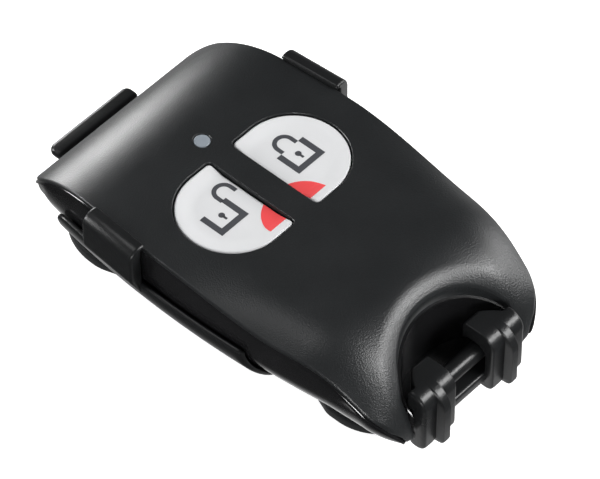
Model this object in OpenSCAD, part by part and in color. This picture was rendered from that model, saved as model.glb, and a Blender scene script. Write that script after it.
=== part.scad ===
// Two-button alarm key fob held in a snap-on belt-clip cradle.
// X runs across the fob, +Y points to the indicator end, +Z leaves the front face.
// The origin lies under the middle of the part, on the back of the belt clip.

/* [Fob case] */
// Width of the case at its middle
case_w = 36; // [33:0.5:40]
// Length of the case
case_l = 63; // [60:0.5:68]
// Thickness of the case from back to front
case_t = 12.2; // [11.6:0.1:14]
// How far each side draws in towards the ends
side_bow = 3.4; // [2:0.1:4.5]
// Plan radius of the corners at the indicator end
top_corner_r = 8; // [6:0.5:10]
// Plan radius of the corners at the key ring end
low_corner_r = 5; // [4:0.5:7]
// Radius with which the front rolls down at the indicator end
top_arch_r = 16; // [13:0.5:18]
// Radius with which the front rolls down at the key ring end
low_arch_r = 13.5; // [12.5:0.5:15]
// Radius of the long edges of the back
back_edge_r = 6.2; // [5:0.1:7]
// Width of the soft shoulder along the front edges
shoulder_w = 3; // [2:0.1:4]
// Fall of the front across that shoulder
shoulder_drop = 0.7; // [0.4:0.1:1]
// Wall of the rear cover
wall = 1.6; // [1.2:0.1:2]
// Wall of the front cover
cover_t = 1.5; // [1.2:0.1:1.8]
// Height of the rear rim that shows below the front cover at both ends
end_rim = 1.2; // [0.8:0.1:1.8]

/* [Key ring end] */
// Distance of the scallop's axis outside the end of the case
scallop_out = 3.6; // [2.5:0.1:4.5]
// Scallop radius at the back of the case
scallop_r = 11.2; // [10.9:0.1:11.4]
// Scallop radius at the front of the case
scallop_flare_r = 11.6; // [11.4:0.1:12.2]
// Radius of the lanyard bar between the horns
bar_r = 1.25; // [1.1:0.05:1.3]
// Radius of the bar's ends inside the horns
bar_end_r = 0.9; // [0.8:0.05:0.95]
// Distance of the bar's axis from the end of the case
bar_in = 2; // [1.9:0.05:2.2]
// Height of the bar's axis above the back of the case
bar_up = 2.55; // [2.4:0.05:2.7]
// Length of the bar
bar_l = 24.6; // [23.6:0.1:25.4]
// Length of the thick part of the bar
bar_grip_l = 16.4; // [15:0.1:16.8]
// Length of the solid horns that hold the bar
horn_l = 6.5; // [5.5:0.1:7]

/* [Buttons and indicator] */
// Length of the pair of buttons across the fob
button_l = 26; // [24:0.2:27]
// Width of the buttons along the fob
button_w = 14.8; // [13:0.2:15.4]
// Width of the strip of cover between the buttons
strip_w = 3.9; // [3:0.1:5]
// Distance of the buttons' middle from the middle of the case
button_y = 2.8; // [1:0.1:3.5]
// Depth of the thumb dish in each button
dish = 0.5; // [0.2:0.05:0.6]
// Travel of each button
button_travel = 0.4; // [0.2:0.05:0.45]
// Gap round each button
button_gap = 0.2; // [0.1:0.02:0.3]
// Radius of the indicator lens
lens_r = 1.1; // [0.8:0.05:1.4]
// Distance of the lens from the middle of the case
lens_y = 12.8; // [12.2:0.1:14]

/* [Inside] */
// Diameter of the coin cell
cell_d = 20; // [16:0.5:20]
// Thickness of the coin cell
cell_t = 3.2; // [2.5:0.1:3.2]
// Distance of the cell's middle from the middle of the case
cell_y = -4; // [-6:0.5:0]
// Thickness of the circuit board
board_t = 1; // [0.8:0.1:1.2]
// Width of the circuit board
board_w = 29; // [27:0.5:29.5]
// End of the board towards the key ring
board_low_y = -20.6; // [-21:0.1:-19]
// End of the board towards the indicator
board_top_y = 23; // [22:0.1:23.5]
// Side of the square switches
switch_s = 6; // [5:0.1:6.5]
// Height of the switch bodies
switch_h = 1.9; // [1.5:0.1:2.2]
// Shank radius of the case screws
screw_r = 0.75; // [0.6:0.05:0.9]
// Distance of the screws from the middle line
screw_x = 12; // [11:0.1:12.2]
// Height along the case of the screws near the indicator
screw_top_y = 18.5; // [17:0.1:19.5]
// Height along the case of the screws near the key ring
screw_low_y = -16.8; // [-17.5:0.1:-15]
// Side of the radio chip
chip_s = 5; // [4:0.1:6]
// Distance of the radio chip from the middle of the case
chip_y = -9; // [-9.5:0.1:-8]
// Length of the crystal
crystal_l = 3.2; // [2.5:0.1:3.6]
// Length of each small chip part
passive_l = 1.6; // [1:0.1:1.6]
// Thickness of the antenna wire
antenna_t = 0.8; // [0.6:0.05:1]
// Length of the antenna loop across the board
antenna_l = 16; // [12:0.5:18]
// Height of the antenna loop above the board
antenna_h = 1.6; // [1.2:0.1:1.9]
// Distance of the antenna from the end of the board
antenna_in = 2.4; // [1.8:0.1:3]
// Diameter of the cell's spring contact
contact_d = 6; // [4:0.5:8]
// Width of the strap that holds the cell
strap_w = 7; // [5:0.5:9]

/* [Cradle] */
// Thickness of the cradle floor
floor_t = 1.7; // [1.4:0.1:2.2]
// Half-width of the cradle floor
floor_hw = 12.5; // [11:0.1:13]
// End of the cradle floor towards the indicator
floor_top_y = 26; // [24:0.5:27]
// Wall of the cradle's bowl, which hugs the back of the case
bowl_t = 1; // [0.8:0.1:1.2]
// Height of the bowl's sides above the cradle floor
bowl_h = 6.1; // [5:0.1:6.5]
// End of the bowl towards the key ring
bowl_low_y = -12.5; // [-13:0.5:-11]
// End of the bowl towards the indicator
bowl_top_y = 22.5; // [21:0.5:23]
// Plan radius of the bowl's corners
bowl_corner_r = 6; // [4:0.5:7]
// Width of the tail that carries the hooks
tail_w = 19; // [17:0.2:19.4]
// Lower end of the side claws
claw_low_y = 6.3; // [5:0.1:8]
// Length of the side claws
claw_l = 9; // [7:0.1:10]
// Thickness of the side claws
claw_t = 1.9; // [1.5:0.1:2.1]
// How far the claw lips reach over the case
claw_lip = 0.9; // [0.5:0.1:1]
// Height of the claws above the front of the case
claw_rise = 0.6; // [0.5:0.1:1]
// Width of the stop at the indicator end
tab_w = 14.6; // [12:0.2:15]
// Height of that stop above the cradle floor
tab_h = 1.85; // [1.4:0.05:2.2]
// Thickness of its flange
tab_t = 1.45; // [1.2:0.05:1.6]
// Distance of the hooks' inner faces from the middle line
hook_x = 3.2; // [3:0.1:3.4]
// Width of each hook
hook_w = 6.3; // [6:0.1:6.4]
// Thickness of the hooks' legs outside the bar
leg_t = 1.1; // [1:0.1:1.3]
// Thickness of the hooks' caps over the bar
cap_t = 2.3; // [1.8:0.1:2.6]
// How far the caps reach past the bar's axis
cap_reach = 2.2; // [1.8:0.1:2.4]
// How far the hooks' rounded feet drop below the cradle floor
foot_drop = 1.4; // [0.8:0.1:1.8]
// Height of the middle grip rib on each hook
rib_h = 1.45; // [1.2:0.05:1.6]
// Number of grip ribs on each hook
rib_count = 3; // [2:1:4]

/* [Belt clip] */
// Thickness of the clip plate
clip_t = 1.9; // [1.6:0.1:2.4]
// Gap for the belt between the clip and the cradle
belt_gap = 4.5; // [4.3:0.1:5.5]
// Half-width of the jaw end
jaw_hw = 11.2; // [9.5:0.1:12]
// Half-width of the lever end
lever_hw = 10; // [9.5:0.1:11]
// Half-width of the waist
waist_hw = 8.5; // [8.3:0.1:9.2]
// Tip of the jaw end
jaw_y = 28.6; // [27.5:0.1:30]
// Tip of the lever end
lever_y = -26; // [-27:0.1:-24]
// Hinge pin's distance from the middle of the case
hinge_y = -5; // [-6:0.1:-4]
// Radius of the hinge pin
pin_r = 1; // [0.8:0.05:1.1]
// Distance of the hinge ears from the middle line
ear_x = 6.4; // [5.5:0.1:6.5]
// Thickness of the hinge ears
ear_t = 1.6; // [1.3:0.1:1.8]

/* [Hidden] */
$fn = 48;

// Clearances: between the covers, under the case, beside the case, round a pin, between moving pieces
seam = 0.1;
seat_gap = 0.2;
side_gap = 0.3;
pin_gap = 0.04;
move_gap = 0.15;
// A cut reaches this far past the face it opens
past = 1;

// Heights of the stack, from the back of the belt clip upwards
cradle_z = clip_t + belt_gap;
seat_z = cradle_z + floor_t;
case_z = seat_z + seat_gap;
case_top = case_z + case_t;
cover_under = case_top - cover_t;

// Inside stack, from the floor of the rear cover upwards
strip_metal = 0.3;
contact_t = 0.4;
cell_z = case_z + wall + seat_gap + strip_metal;
board_z = cell_z + cell_t + contact_t;
board_top = board_z + board_t;
plunger_r = 1.5;
plunger_up = button_travel + 0.1;
plunger_top = board_top + switch_h + plunger_up;

// Plan of the case: bowed sides, round corners, straight ends
half_w = case_w / 2;
half_l = case_l / 2;
side_r = (half_l * half_l + side_bow * side_bow) / (2 * side_bow);
side_c = half_w - side_r;
arc_steps = 8;

function arc(c, r, a0, a1, n = arc_steps) =
    [for (i = [0:n]) c + r * [cos(a0 + (a1 - a0) * i / n), sin(a0 + (a1 - a0) * i / n)]];
function flipped(points) = [for (i = [len(points) - 1:-1:0]) [-points[i].x, points[i].y]];
function both_sides(points) = concat(points, flipped(points));

// Outline of corners [x, y, radius], each rounded by an arc that both its edges touch
function unit(v) = v / norm(v);
function corner(p, v, q) =
    let (at = [v.x, v.y], a = unit([p.x, p.y] - at), b = unit([q.x, q.y] - at), half = acos(a * b) / 2,
         c = at + unit(a + b) * v.z / sin(half), s = at + a * v.z / tan(half) - c,
         e = at + b * v.z / tan(half) - c, turn = (s.x * e.y - s.y * e.x > 0 ? 1 : -1) * (180 - 2 * half))
    v.z <= 0 ? [at] : arc(c, v.z, atan2(s.y, s.x), atan2(s.y, s.x) + turn, 6);
function rounded(v) =
    [for (i = [0:len(v) - 1]) each corner(v[(i + len(v) - 1) % len(v)], v[i], v[(i + 1) % len(v)])];

function corner_x(r) = side_c + sqrt(pow(side_r - r, 2) - pow(half_l - r, 2));
function corner_a(r) = atan2(half_l - r, corner_x(r) - side_c);
function plan(inset) = both_sides(concat(
    arc([corner_x(low_corner_r), low_corner_r - half_l], low_corner_r - inset, -90, -corner_a(low_corner_r)),
    arc([side_c, 0], side_r - inset, -corner_a(low_corner_r), corner_a(top_corner_r)),
    arc([corner_x(top_corner_r), half_l - top_corner_r], top_corner_r - inset, corner_a(top_corner_r), 90)));
function side_half(y) = side_c + sqrt(side_r * side_r - y * y);

// Side view of the case: flat front that rolls down at both ends
function roll_end(r, inset) = asin((r - case_t - past) / (r - inset));
function arch(inset) = concat(
    arc([half_l - top_arch_r, case_top - top_arch_r], top_arch_r - inset, roll_end(top_arch_r, inset), 90),
    arc([low_arch_r - half_l, case_top - low_arch_r], low_arch_r - inset, 90,
        180 - roll_end(low_arch_r, inset)));
function low_arch_z(y) = case_top - low_arch_r + sqrt(pow(low_arch_r, 2) - pow(y + half_l - low_arch_r, 2));

// Cross-section of the case: round back edges and a soft front shoulder
shoulder_r = (shoulder_w * shoulder_w + shoulder_drop * shoulder_drop) / (2 * shoulder_drop);
shoulder_a = asin(shoulder_w / shoulder_r);
function section(inset) = both_sides(concat(
    arc([half_w - back_edge_r, case_z + back_edge_r], back_edge_r - inset, -90, 0),
    arc([half_w - shoulder_w, case_top - shoulder_r], shoulder_r - inset, 90 - shoulder_a, 90)));

module along_x(w) { rotate([90, 0, 90]) linear_extrude(w, center = true) children(); }
module along_y(l) { rotate([90, 0, 0]) linear_extrude(l, center = true) children(); }
module rod_x(x0, x1, r) { translate([x0, 0, 0]) rotate([0, 90, 0]) cylinder(x1 - x0, r = r); }
module both_x() { children(); mirror([1, 0, 0]) children(); }

module plan_prism(inset) { translate([0, 0, case_z - past]) linear_extrude(case_t + 2 * past) polygon(plan(inset)); }
module arch_prism(inset) { along_x(case_w + 2 * past) polygon(arch(inset)); }
module section_prism(inset) { along_y(case_l + 2 * past) polygon(section(inset)); }
module case_body(inset) {
    intersection() {
        plan_prism(inset);
        arch_prism(inset);
        section_prism(inset);
    }
}

// Scallop at the key ring end: a cone that opens towards the front
scallop_y = -half_l - scallop_out;
module scallop(grow) {
    draft = (scallop_flare_r - scallop_r) / case_t;
    translate([0, scallop_y, case_z - past])
        cylinder(case_t + 2 * past, r1 = scallop_r + grow - draft * past, r2 = scallop_flare_r + grow + draft * past);
}

// Lanyard bar across the scallop, held in the horns
bar_y = bar_in - half_l;
bar_z = case_z + bar_up;
module bar_bore() {
    translate([0, bar_y, bar_z]) rod_x(-bar_l / 2 - pin_gap, bar_l / 2 + pin_gap, bar_end_r + pin_gap);
}

// Screws hold the covers together and clamp the board
screw_spots = [for (x = [-1, 1], y = [screw_low_y, screw_top_y]) [x * screw_x, y, 0]];
post_r = screw_r + 1.1;
head_r = 2 * screw_r;
head_t = 0.9;
head_floor = case_z + wall + 0.4;
screw_tip = board_top + 2.2;

module cavity() {
    difference() {
        case_body(wall);
        scallop(wall);
        translate([-half_w, -half_l - past, case_z]) cube([case_w, horn_l + past, case_t]);
        for (p = screw_spots) translate(p + [0, 0, case_z]) cylinder(board_z - case_z, r = post_r);
    }
}

module rear_cover() color("#1b1c1e") {
    difference() {
        intersection() {
            case_body(0);
            union() {
                arch_prism(cover_t + seam);
                translate([-half_w, -half_l, case_z]) cube([case_w, case_l, end_rim]);
            }
        }
        cavity();
        scallop(0);
        bar_bore();
        for (p = screw_spots) translate(p) {
            translate([0, 0, case_z - past]) cylinder(case_t, r = screw_r + pin_gap);
            translate([0, 0, case_z - past]) cylinder(head_floor - case_z + past, r = head_r + pin_gap);
        }
    }
}

// Locating lip inside the front cover, which drops into the rear cover
lip_t = 0.9;
lip_h = 1.3;
module cover_lip() {
    difference() {
        intersection() {
            plan_prism(wall + seam);
            arch_prism(cover_t - past / 4);
        }
        plan_prism(wall + seam + lip_t);
        arch_prism(cover_t + lip_h);
        scallop(wall + seam);
        translate([-half_w, -half_l - past, 0]) cube([case_w, horn_l + seam + past, case_top + past]);
        translate([-half_w, -half_l, 0]) cube([case_w, case_l, case_z + wall + past]);
    }
}

module cover_bosses() {
    intersection() {
        for (p = screw_spots) translate(p + [0, 0, board_top]) cylinder(case_t, r = post_r);
        arch_prism(cover_t / 2);
    }
}

// Button opening on the right: half of an oblong, cut straight along the strip
function button_half(inset) = rounded([
    [strip_w / 2 + inset, -button_w / 2 + inset, 0.8],
    [button_l / 2 - inset, -button_w / 2 + inset, button_w / 2 - inset - 0.01],
    [button_l / 2 - inset, button_w / 2 - inset, button_w / 2 - inset - 0.01],
    [strip_w / 2 + inset, button_w / 2 - inset, 0.8]]);

module front_cover() color("#26282a") {
    difference() {
        union() {
            difference() {
                case_body(0);
                arch_prism(cover_t);
                translate([-half_w, -half_l, case_z - past]) cube([case_w, case_l, end_rim + seam + past]);
            }
            cover_lip();
            cover_bosses();
        }
        scallop(0);
        bar_bore();
        both_x() translate([0, button_y, cover_under - past]) linear_extrude(cover_t + 2 * past)
            polygon(button_half(0));
        translate([0, lens_y, cover_under - past]) cylinder(cover_t + 2 * past, r = lens_r + pin_gap);
        for (p = screw_spots) translate(p + [0, 0, board_top - past])
            cylinder(screw_tip - board_top + past + seam, r = screw_r + pin_gap);
    }
}

module lanyard_bar() color("#2b2d2f") translate([0, bar_y, bar_z]) {
    rod_x(-bar_l / 2, bar_l / 2, bar_end_r);
    rod_x(-bar_grip_l / 2, bar_grip_l / 2, bar_r);
}

// Button: dished cap, flange that stops it under the cover, stem on the switch
button_flange = 0.8;
flange_t = 0.8;
button_proud = 0.1;
dish_r = 28;
button_x = (strip_w / 2 + button_l / 2) / 2;
module button() {
    flange_top = cover_under - move_gap;
    translate([0, button_y, 0]) difference() {
        union() {
            translate([0, 0, flange_top - flange_t / 2])
                linear_extrude(case_top - button_proud - flange_top + flange_t / 2) polygon(button_half(button_gap));
            translate([0, 0, flange_top - flange_t]) linear_extrude(flange_t) polygon(button_half(-button_flange));
            translate([button_x, 0, plunger_top + seam])
                cylinder(flange_top - plunger_top - seam - flange_t / 2, r = plunger_r + 0.5);
        }
        translate([button_x, 0, case_top - button_proud + dish_r - dish]) sphere(dish_r);
    }
}

module lock_button() color("#e3e5e6") button();
module unlock_button() color("#e3e5e6") mirror([1, 0, 0]) button();

lens_flange = 0.6;
module led_lens() color("#8f9aa3") translate([0, lens_y, 0]) {
    led_room = 1;
    translate([0, 0, board_top + led_room])
        cylinder(case_top - move_gap - board_top - led_room, r = lens_r);
    translate([0, 0, cover_under - lens_flange]) cylinder(lens_flange, r = lens_r + lens_flange);
}

module circuit_board() color("#1f5f3a") translate([0, 0, board_z]) difference() {
    linear_extrude(board_t) polygon(rounded([
        [board_w / 2, board_low_y, 4], [board_w / 2, board_top_y, 5],
        [-board_w / 2, board_top_y, 5], [-board_w / 2, board_low_y, 4]]));
    for (p = screw_spots) translate(p + [0, 0, -past]) cylinder(board_t + 2 * past, r = screw_r + seam);
}

// Tactile switch: square body with a round well for its plunger
plunger_sink = 0.9;
module switch_body() {
    translate([button_x, button_y, board_top]) difference() {
        linear_extrude(switch_h) square(switch_s, center = true);
        translate([0, 0, switch_h - plunger_sink - button_travel - seam])
            cylinder(switch_h, r = plunger_r + pin_gap);
    }
}
module plunger() {
    translate([button_x, button_y, plunger_top - plunger_up - plunger_sink])
        cylinder(plunger_up + plunger_sink, r = plunger_r);
}
module lock_switch() color("#b9bcc0") switch_body();
module unlock_switch() color("#b9bcc0") mirror([1, 0, 0]) switch_body();
module lock_plunger() color("#2a2a2c") plunger();
module unlock_plunger() color("#2a2a2c") mirror([1, 0, 0]) plunger();

// Electronics on the front side of the board, with one gap between all neighbours
part_gap = 0.6;
chip_t = 0.9;
passive_w = passive_l / 2;
passive_t = 0.6;
module chip(x, y, w, l, h) { translate([x - w / 2, y - l / 2, board_top]) cube([w, l, h]); }
module indicator_led() color("#d8e2d0") chip(0, lens_y, passive_l, passive_w, passive_t);
module radio_chip() color("#2b2b2e") chip(0, chip_y, chip_s, chip_s, chip_t);
module crystal() color("#c8cacc")
    chip(chip_s / 2 + 2 * part_gap + crystal_l / 2, chip_y, crystal_l, 0.8 * crystal_l, chip_t);
module board_passives() color("#8a6f4d") {
    row_y = chip_y - chip_s / 2 - part_gap - passive_l / 2;
    side_x = -chip_s / 2 - 2 * part_gap - passive_l / 2;
    for (i = [-2:2]) chip(i * (passive_w + part_gap), row_y, passive_w, passive_l, passive_t);
    for (i = [-1:1]) chip(side_x, chip_y + i * (passive_w + part_gap), passive_l, passive_w, passive_t);
}

// Loop antenna: a bent wire that stands on two feet across the key ring end of the board
module antenna() color("#c9a24b") translate([0, board_low_y + antenna_in, board_top]) {
    translate([0, 0, antenna_h]) rod_x(-antenna_l / 2, antenna_l / 2, antenna_t / 2);
    for (x = [-antenna_l / 2, antenna_l / 2]) translate([x, 0, 0]) {
        cylinder(antenna_h, r = antenna_t / 2);
        translate([0, 0, antenna_h]) sphere(antenna_t / 2);
    }
}

// Power: coin cell, its spring contact and the strap that holds it against the board
cell_step = 0.4;
cell_cap_in = 1.2;
module coin_cell() color("#c4c6c8") translate([0, cell_y, cell_z]) {
    cylinder(cell_t - cell_step, d = cell_d);
    translate([0, 0, cell_t - cell_step]) cylinder(cell_step, d = cell_d - 2 * cell_cap_in);
}
module battery_contact() color("#b8a268") translate([0, cell_y, cell_z + cell_t]) cylinder(contact_t, d = contact_d);
module battery_clip() color("#b4b7ba") translate([0, cell_y, 0]) {
    strap_x = cell_d / 2 + seam;
    translate([-strap_x - strip_metal, -strap_w / 2, cell_z - strip_metal])
        cube([2 * (strap_x + strip_metal), strap_w, strip_metal]);
    both_x() translate([strap_x, -strap_w / 2, cell_z - strip_metal])
        cube([strip_metal, strap_w, board_z - cell_z + strip_metal]);
}

module case_screws() color("#9a9da0") for (p = screw_spots) translate(p) {
    translate([0, 0, head_floor - head_t]) difference() {
        cylinder(head_t, r = head_r);
        translate([-head_r, -0.15, -past]) cube([2 * head_r, 0.3, past + 0.4]);
        translate([-0.15, -head_r, -past]) cube([0.3, 2 * head_r, past + 0.4]);
    }
    translate([0, 0, head_floor - head_t / 2]) cylinder(screw_tip - head_floor + head_t / 2, r = screw_r);
}

// Cradle floor: wide seat, stop at the indicator end, narrow tail at the hook end
hook_in = bar_r + side_gap;
leg_in_y = bar_y - hook_in;
leg_out_y = leg_in_y - leg_t;
reach = rib_h - leg_out_y;
tail_end_y = leg_in_y - leg_t / 4;
stop_y = half_l - side_gap;
tab_top = seat_z + tab_h;
stem_hw = tab_w / 2 - 1.3;
stem_y = stop_y + 1.1;
function cradle_plan() = both_sides(rounded([
    [0, tail_end_y, 0], [tail_w / 2, tail_end_y, 0.5], [tail_w / 2, bowl_low_y, 1.4],
    [floor_hw, bowl_low_y, 1.4], [floor_hw, floor_top_y, 3], [stem_hw, floor_top_y + 2.5, 2],
    [stem_hw, stem_y, 0.4], [0, stem_y, 0]]));
module stop() {
    translate([-stem_hw, stop_y, cradle_z]) cube([2 * stem_hw, stem_y - stop_y, tab_top - cradle_z]);
    translate([0, 0, tab_top - tab_t]) linear_extrude(tab_t) polygon(both_sides(rounded([
        [0, stop_y, 0], [tab_w / 2, stop_y, 0.3], [tab_w / 2, reach, 1], [0, reach, 0]])));
}

// Bowl: a shell round the back of the case, cut level at the top and rounded at its corners
bowl_top = seat_z + bowl_h;
bowl_out = seat_gap + bowl_t;
bowl_tip_r = 3;
function bowl_plan() = both_sides(rounded([
    [0, bowl_low_y, 0], [half_w + bowl_out + past, bowl_low_y, bowl_corner_r],
    [half_w + bowl_out + past, bowl_top_y, bowl_tip_r], [0, bowl_top_y, 0]]));
module case_room(inset, top) {
    intersection() {
        translate([0, 0, cradle_z]) linear_extrude(top - cradle_z) polygon(plan(inset));
        section_prism(inset);
    }
}
module bowl() {
    difference() {
        intersection() {
            case_room(-bowl_out, bowl_top);
            translate([0, 0, cradle_z]) linear_extrude(case_t) polygon(bowl_plan());
        }
        case_room(-seat_gap, bowl_top + past);
    }
}

// Claw profile: stands on the bowl, runs along the bowed side of the case, lips over the front
claw_mid = claw_low_y + claw_l / 2;
claw_in = side_half(claw_mid) + side_gap;
claw_turn = asin(claw_mid / side_r);
claw_top = case_top + claw_rise;
claw_root = 1.8;
function claw_profile() = rounded([
    [0, bowl_top - claw_root, 0], [claw_t / 2, bowl_top - claw_root, 0],
    [claw_t, bowl_top + claw_root / 2, 2], [claw_t, claw_top, 0.9],
    [-claw_lip, claw_top, 0.4], [-claw_lip, case_top - shoulder_drop / 4, 0.1],
    [0, case_top - shoulder_drop / 2, 0.2]]);

// Hook profile: a round foot, a leg outside the bar and a cap that wraps over its top
hook_tip_a = 35;
cap_top = bar_z + hook_in + cap_t;
foot_z = cradle_z - foot_drop;
foot_y = leg_in_y + leg_t;
foot_r = min(0.85 * foot_drop, 0.9 * leg_t);
bend_r = 2.2;
tip_r = 0.6;
function hook_profile(grow) = rounded(concat(
    [[foot_y, foot_z, foot_r], [leg_out_y - grow, foot_z, foot_r], [leg_out_y - grow, cap_top, bend_r],
     [bar_y + cap_reach, cap_top, tip_r], [bar_y + cap_reach, bar_z + hook_in * sin(hook_tip_a), 0]],
    [for (p = arc([bar_y, bar_z], hook_in, hook_tip_a, 180, 10)) [p.x, p.y, 0]],
    [[leg_in_y, cradle_z, 0], [foot_y, cradle_z, 0]]));

// Ribs: the middle one stands proudest, and all end in the foot and the cap
rib_share = 0.72;
side_rib_share = 0.25;
module hook() {
    pitch = hook_w / rib_count;
    intersection() {
        union() {
            translate([hook_x + hook_w / 2, 0, 0]) along_x(hook_w) polygon(hook_profile(0));
            for (i = [0:rib_count - 1]) {
                middle = i > 0 && i < rib_count - 1;
                translate([hook_x + pitch * (i + 0.5), 0, 0]) along_x(pitch * rib_share)
                    polygon(hook_profile(middle ? rib_h : rib_h * side_rib_share));
            }
        }
        union() {
            scallop(-2 * side_gap);
            translate([-half_w, scallop_y, 0]) cube([case_w, case_l, seat_z]);
        }
    }
}

// Hinge ears under the floor
hinge_z = clip_t + belt_gap / 2;
ear_r = belt_gap / 2 - move_gap;
module ears() {
    both_x() translate([ear_x, hinge_y, 0]) difference() {
        union() {
            translate([0, 0, hinge_z]) rod_x(0, ear_t, ear_r);
            translate([0, -ear_r, hinge_z]) cube([ear_t, 2 * ear_r, cradle_z - hinge_z + floor_t / 2]);
        }
        translate([0, 0, hinge_z]) rod_x(-past, ear_t + past, pin_r + pin_gap);
    }
}

module clip_cradle() color("#202123") {
    translate([0, 0, cradle_z]) linear_extrude(floor_t) polygon(cradle_plan());
    stop();
    bowl();
    both_x() {
        translate([claw_in, claw_mid, 0]) rotate([0, 0, claw_turn]) along_y(claw_l) polygon(claw_profile());
        hook();
    }
    ears();
}

// Belt clip: a rocking plate with a wide jaw, a waist at the hinge and a lever to press
knuckle_hw = ear_x - move_gap;
lip_y = jaw_y - 2.6;
lip_hw = 7;
function clip_plan() = both_sides(rounded([
    [0, lever_y, 0], [lever_hw, lever_y, 8], [lever_hw, -13, 5], [waist_hw, -9, 5],
    [waist_hw, 7, 5], [jaw_hw, 12, 5], [jaw_hw, jaw_y, 9], [0, jaw_y, 0]]));

module belt_clip() color("#1d1e20") {
    difference() {
        union() {
            linear_extrude(clip_t) polygon(clip_plan());
            translate([0, hinge_y, hinge_z]) rod_x(-knuckle_hw, knuckle_hw, ear_r);
            translate([-knuckle_hw, hinge_y - ear_r, clip_t / 2])
                cube([2 * knuckle_hw, 2 * ear_r, hinge_z - clip_t / 2]);
            translate([-lip_hw, lip_y, clip_t / 2])
                cube([2 * lip_hw, 1.4, cradle_z - clip_t / 2 - side_gap]);
        }
        translate([0, hinge_y, hinge_z]) rod_x(-knuckle_hw - past, knuckle_hw + past, pin_r + pin_gap);
    }
}

module clip_pin() color("#a9adb1") translate([0, hinge_y, hinge_z]) rod_x(-ear_x - ear_t, ear_x + ear_t, pin_r);

// Leaf spring between the cradle and the lever, which holds the jaw shut
spring_t = 0.3;
spring_w = 7;
spring_root_y = hinge_y - ear_r - 1;
spring_bend_y = spring_root_y - 2.5;
spring_tip_y = spring_bend_y - 8.5;
function spring_line(z) = [for (i = [0:10])
    [spring_bend_y + (spring_tip_y - spring_bend_y) * i / 10,
     z - (belt_gap - spring_t - move_gap) * (1 - cos(18 * i)) / 2]];
function reversed(points) = [for (i = [len(points) - 1:-1:0]) points[i]];
module clip_spring() color("#b0b3b6") along_x(spring_w) polygon(concat(
    [[spring_root_y, cradle_z]], spring_line(cradle_z),
    reversed(spring_line(cradle_z - spring_t)), [[spring_root_y, cradle_z - spring_t]]));

front_cover();
rear_cover();
lanyard_bar();
lock_button();
unlock_button();
led_lens();
circuit_board();
lock_switch();
unlock_switch();
lock_plunger();
unlock_plunger();
indicator_led();
radio_chip();
crystal();
antenna();
board_passives();
coin_cell();
battery_clip();
battery_contact();
case_screws();
clip_cradle();
belt_clip();
clip_pin();
clip_spring();
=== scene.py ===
import bpy
import bmesh
from math import asin, atan2, cos, hypot, pi, radians, sin, sqrt, tan
from mathutils import Matrix, Vector


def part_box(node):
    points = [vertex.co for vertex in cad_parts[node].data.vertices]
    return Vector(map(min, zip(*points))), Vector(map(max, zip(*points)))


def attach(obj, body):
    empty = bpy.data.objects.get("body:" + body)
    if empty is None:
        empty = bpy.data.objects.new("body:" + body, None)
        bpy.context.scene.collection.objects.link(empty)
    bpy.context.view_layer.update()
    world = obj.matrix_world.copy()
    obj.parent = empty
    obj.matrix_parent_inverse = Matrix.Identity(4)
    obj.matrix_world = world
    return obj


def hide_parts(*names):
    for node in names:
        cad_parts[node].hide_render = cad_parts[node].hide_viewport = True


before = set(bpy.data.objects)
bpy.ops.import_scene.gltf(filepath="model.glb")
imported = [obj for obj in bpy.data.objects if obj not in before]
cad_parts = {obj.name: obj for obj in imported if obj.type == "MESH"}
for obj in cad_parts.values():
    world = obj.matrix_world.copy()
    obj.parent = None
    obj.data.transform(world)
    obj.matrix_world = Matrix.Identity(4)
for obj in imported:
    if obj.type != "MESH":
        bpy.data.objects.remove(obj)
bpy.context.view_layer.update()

# Studio: the fob lies on its belt clip on a plain white sweep, lit by six soft boxes; the sweep's glow seen
# only in reflections is painted reflection.
# The camera is a long lens above the key ring end, on the unlock button's side.
mm = 0.001
view_turn = radians(47.76)
view_rise = radians(49.62)
view_distance = 598.2
view_lens = 289.2
view_sensor = 36
aim_z, aim_right, aim_up = 20, 2.54, -5.35
to_camera = Vector((-sin(view_turn) * cos(view_rise), -cos(view_turn) * cos(view_rise), sin(view_rise)))
camera_right = Vector((cos(view_turn), -sin(view_turn), 0))
camera_up = to_camera.cross(camera_right)
aim = Vector((0, 0, aim_z)) + aim_right * camera_right + aim_up * camera_up

camera = bpy.data.objects.new("camera", bpy.data.cameras.new("camera"))
camera.data.lens = view_lens
camera.data.sensor_width = view_sensor
camera.data.clip_start = 0.05
camera.location = (aim + view_distance * to_camera) * mm
camera.rotation_euler = Matrix((camera_right, camera_up, to_camera)).transposed().to_euler()
bpy.context.collection.objects.link(camera)
bpy.context.scene.camera = camera
bpy.context.scene.view_settings.view_transform = "Standard"


def soft_box(name, spot, target, width, height, watts):
    lamp = bpy.data.lights.new(name, "AREA")
    lamp.shape = "RECTANGLE"
    lamp.size = width * mm
    lamp.size_y = height * mm
    lamp.energy = watts
    box = bpy.data.objects.new(name, lamp)
    box.location = Vector(spot) * mm
    box.rotation_euler = (Vector(spot) - Vector(target)).to_track_quat("Z", "Y").to_euler()
    bpy.context.collection.objects.link(box)


soft_box("key_box", (180, -296, 262), target=(0, 0, 15), width=215, height=170, watts=1.58)
soft_box("right_box", (290, -130, 95), target=(12, -27, 14), width=200, height=140, watts=0.46)
soft_box("top_box", (-80, 130, 330), target=(0, 0, 18), width=130, height=130, watts=0.14)
soft_box("back_box", (18, 86, 28), target=(-15, 22, 17), width=34, height=26, watts=0.034)
soft_box("left_box", (-162, 236, 80), target=(-15, 20, 18), width=80, height=110, watts=0.55)
soft_box("front_box", (-220, -152, 53), target=(-12, -27, 11), width=50, height=50, watts=0.25)

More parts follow.
